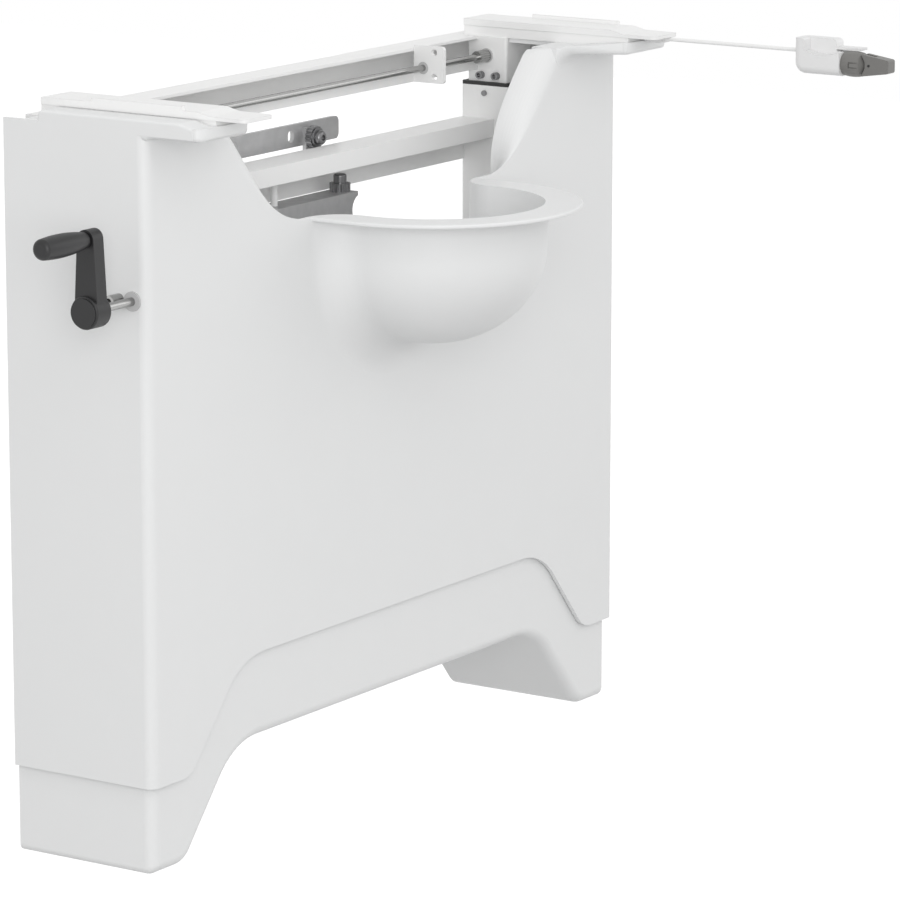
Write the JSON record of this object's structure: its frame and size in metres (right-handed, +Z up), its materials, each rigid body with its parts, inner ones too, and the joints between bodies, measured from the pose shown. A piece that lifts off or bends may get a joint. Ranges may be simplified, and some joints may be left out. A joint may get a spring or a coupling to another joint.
{
  "type": "height adjustable washbasin wall frame",
  "caption": "Wall frame that raises and lowers a washbasin by a side crank: telescopic columns, arms, nested covers with a leg arch and a trap bowl, and a small hand control on a rod.",
  "frame": {"origin": "centre of the four wall bolts, on the wall face", "axes": "+X right along the wall seen from the front, +Y into the wall, +Z up"},
  "size_m": [0.8285, 0.4476, 0.635],
  "materials": {
    "cover_white": "satin moulded plastic",
    "frame_white": "satin powder coat",
    "galvanised": "galvanised, dull",
    "bright_steel": "ground steel",
    "zinc_screw": "zinc plated",
    "black_plastic": "satin",
    "crank_grey": "satin",
    "control_grey": "satin",
    "control_white": "satin",
    "bush_grey": "satin",
    "bronze": "turned",
    "belt_black": "matt"
  },
  "bodies": {
    "wall_frame": {"lower_cover": "cover_white", "left_outer_column": "frame_white", "right_outer_column": "frame_white", "guide_caps": "black_plastic", "nut_tubes": "frame_white", "spindle_nuts": "bronze", "cap_screws": "zinc_screw", "mid_cross_beam": "frame_white", "upper_wall_rail": "frame_white", "lower_wall_rail": "frame_white", "cover_brackets": "frame_white", "service_plate": "galvanised", "plate_lugs": "galvanised", "service_rings": "zinc_screw", "service_washers": "zinc_screw", "service_bolts": "zinc_screw", "pipe_bracket": "galvanised", "bracket_pins": "frame_white", "knurled_nut": "zinc_screw", "bracket_bolt": "zinc_screw"},
    "lift_frame": {"upper_cover": "cover_white", "left_inner_column": "frame_white", "right_inner_column": "frame_white", "column_glides": "bush_grey", "left_arm": "frame_white", "right_arm": "frame_white", "rear_top_beam": "frame_white", "fixing_plate": "frame_white", "shaft_bushes": "bush_grey", "column_screws": "zinc_screw", "bearing_blocks": "galvanised", "spindle_bearings": "bright_steel", "crank_bush": "bush_grey", "parking_eye": "bright_steel", "drive_plate": "galvanised", "drive_belt": "belt_black", "control_rod": "frame_white", "rod_clip": "control_white", "control_housing": "control_white", "control_body": "control_grey", "lever_pin": "black_plastic"},
    "crank_drive": {"crank_shaft": "bright_steel", "crank_arm": "crank_grey", "crank_cap": "crank_grey", "grip_pin": "bright_steel", "crank_pulley": "bush_grey"},
    "grip": {"crank_grip": "crank_grey"},
    "cross_drive": {"cross_shaft": "bright_steel", "shaft_collars": "bright_steel", "shaft_pulley": "bush_grey", "left_shaft_gear": "bright_steel", "right_shaft_gear": "bright_steel"},
    "left_spindle_drive": {"left_spindle": "bright_steel", "left_spindle_gear": "bright_steel"},
    "right_spindle_drive": {"right_spindle": "bright_steel", "right_spindle_gear": "bright_steel"},
    "lever": {"control_lever": "control_grey"}
  },
  "joints": [
    {"name": "lift_slide", "type": "slide", "parent": "wall_frame", "child": "lift_frame", "axis": [0, 0, 1], "range_m": [0, 0.3]},
    {"name": "crank_turn", "type": "hinge", "parent": "lift_frame", "child": "crank_drive", "pos_m": [-0.3, -0.131, 0.198], "axis": [1, 0, 0], "range_deg": [0, 10800.5]},
    {"name": "cross_turn", "type": "hinge", "parent": "lift_frame", "child": "cross_drive", "pos_m": [0, -0.047, 0.319], "axis": [1, 0, 0], "range_deg": [0, 10800.5]},
    {"name": "left_spindle_turn", "type": "hinge", "parent": "lift_frame", "child": "left_spindle_drive", "pos_m": [-0.31, -0.047, 0.1], "axis": [0, 0, 1], "range_deg": [0, 10800.5]},
    {"name": "right_spindle_turn", "type": "hinge", "parent": "lift_frame", "child": "right_spindle_drive", "pos_m": [0.31, -0.047, 0.1], "axis": [0, 0, -1], "range_deg": [0, 10800.5]},
    {"name": "grip_spin", "type": "hinge", "parent": "crank_drive", "child": "grip", "pos_m": [-0.44, -0.131, 0.256], "axis": [1, 0, 0], "continuous": true},
    {"name": "lever_tilt", "type": "hinge", "parent": "lift_frame", "child": "lever", "pos_m": [0.318, -0.4281, 0.3347], "axis": [1, 0, 0], "range_deg": [-5, 5], "stiffness_Nm_per_rad": 0.08}
  ],
  "couplings": [
    {"joint": "crank_turn", "follows": "lift_slide", "rad_per_m": 628.32},
    {"joint": "cross_turn", "follows": "lift_slide", "rad_per_m": 628.32},
    {"joint": "left_spindle_turn", "follows": "lift_slide", "rad_per_m": 628.32},
    {"joint": "right_spindle_turn", "follows": "lift_slide", "rad_per_m": 628.32}
  ]
}
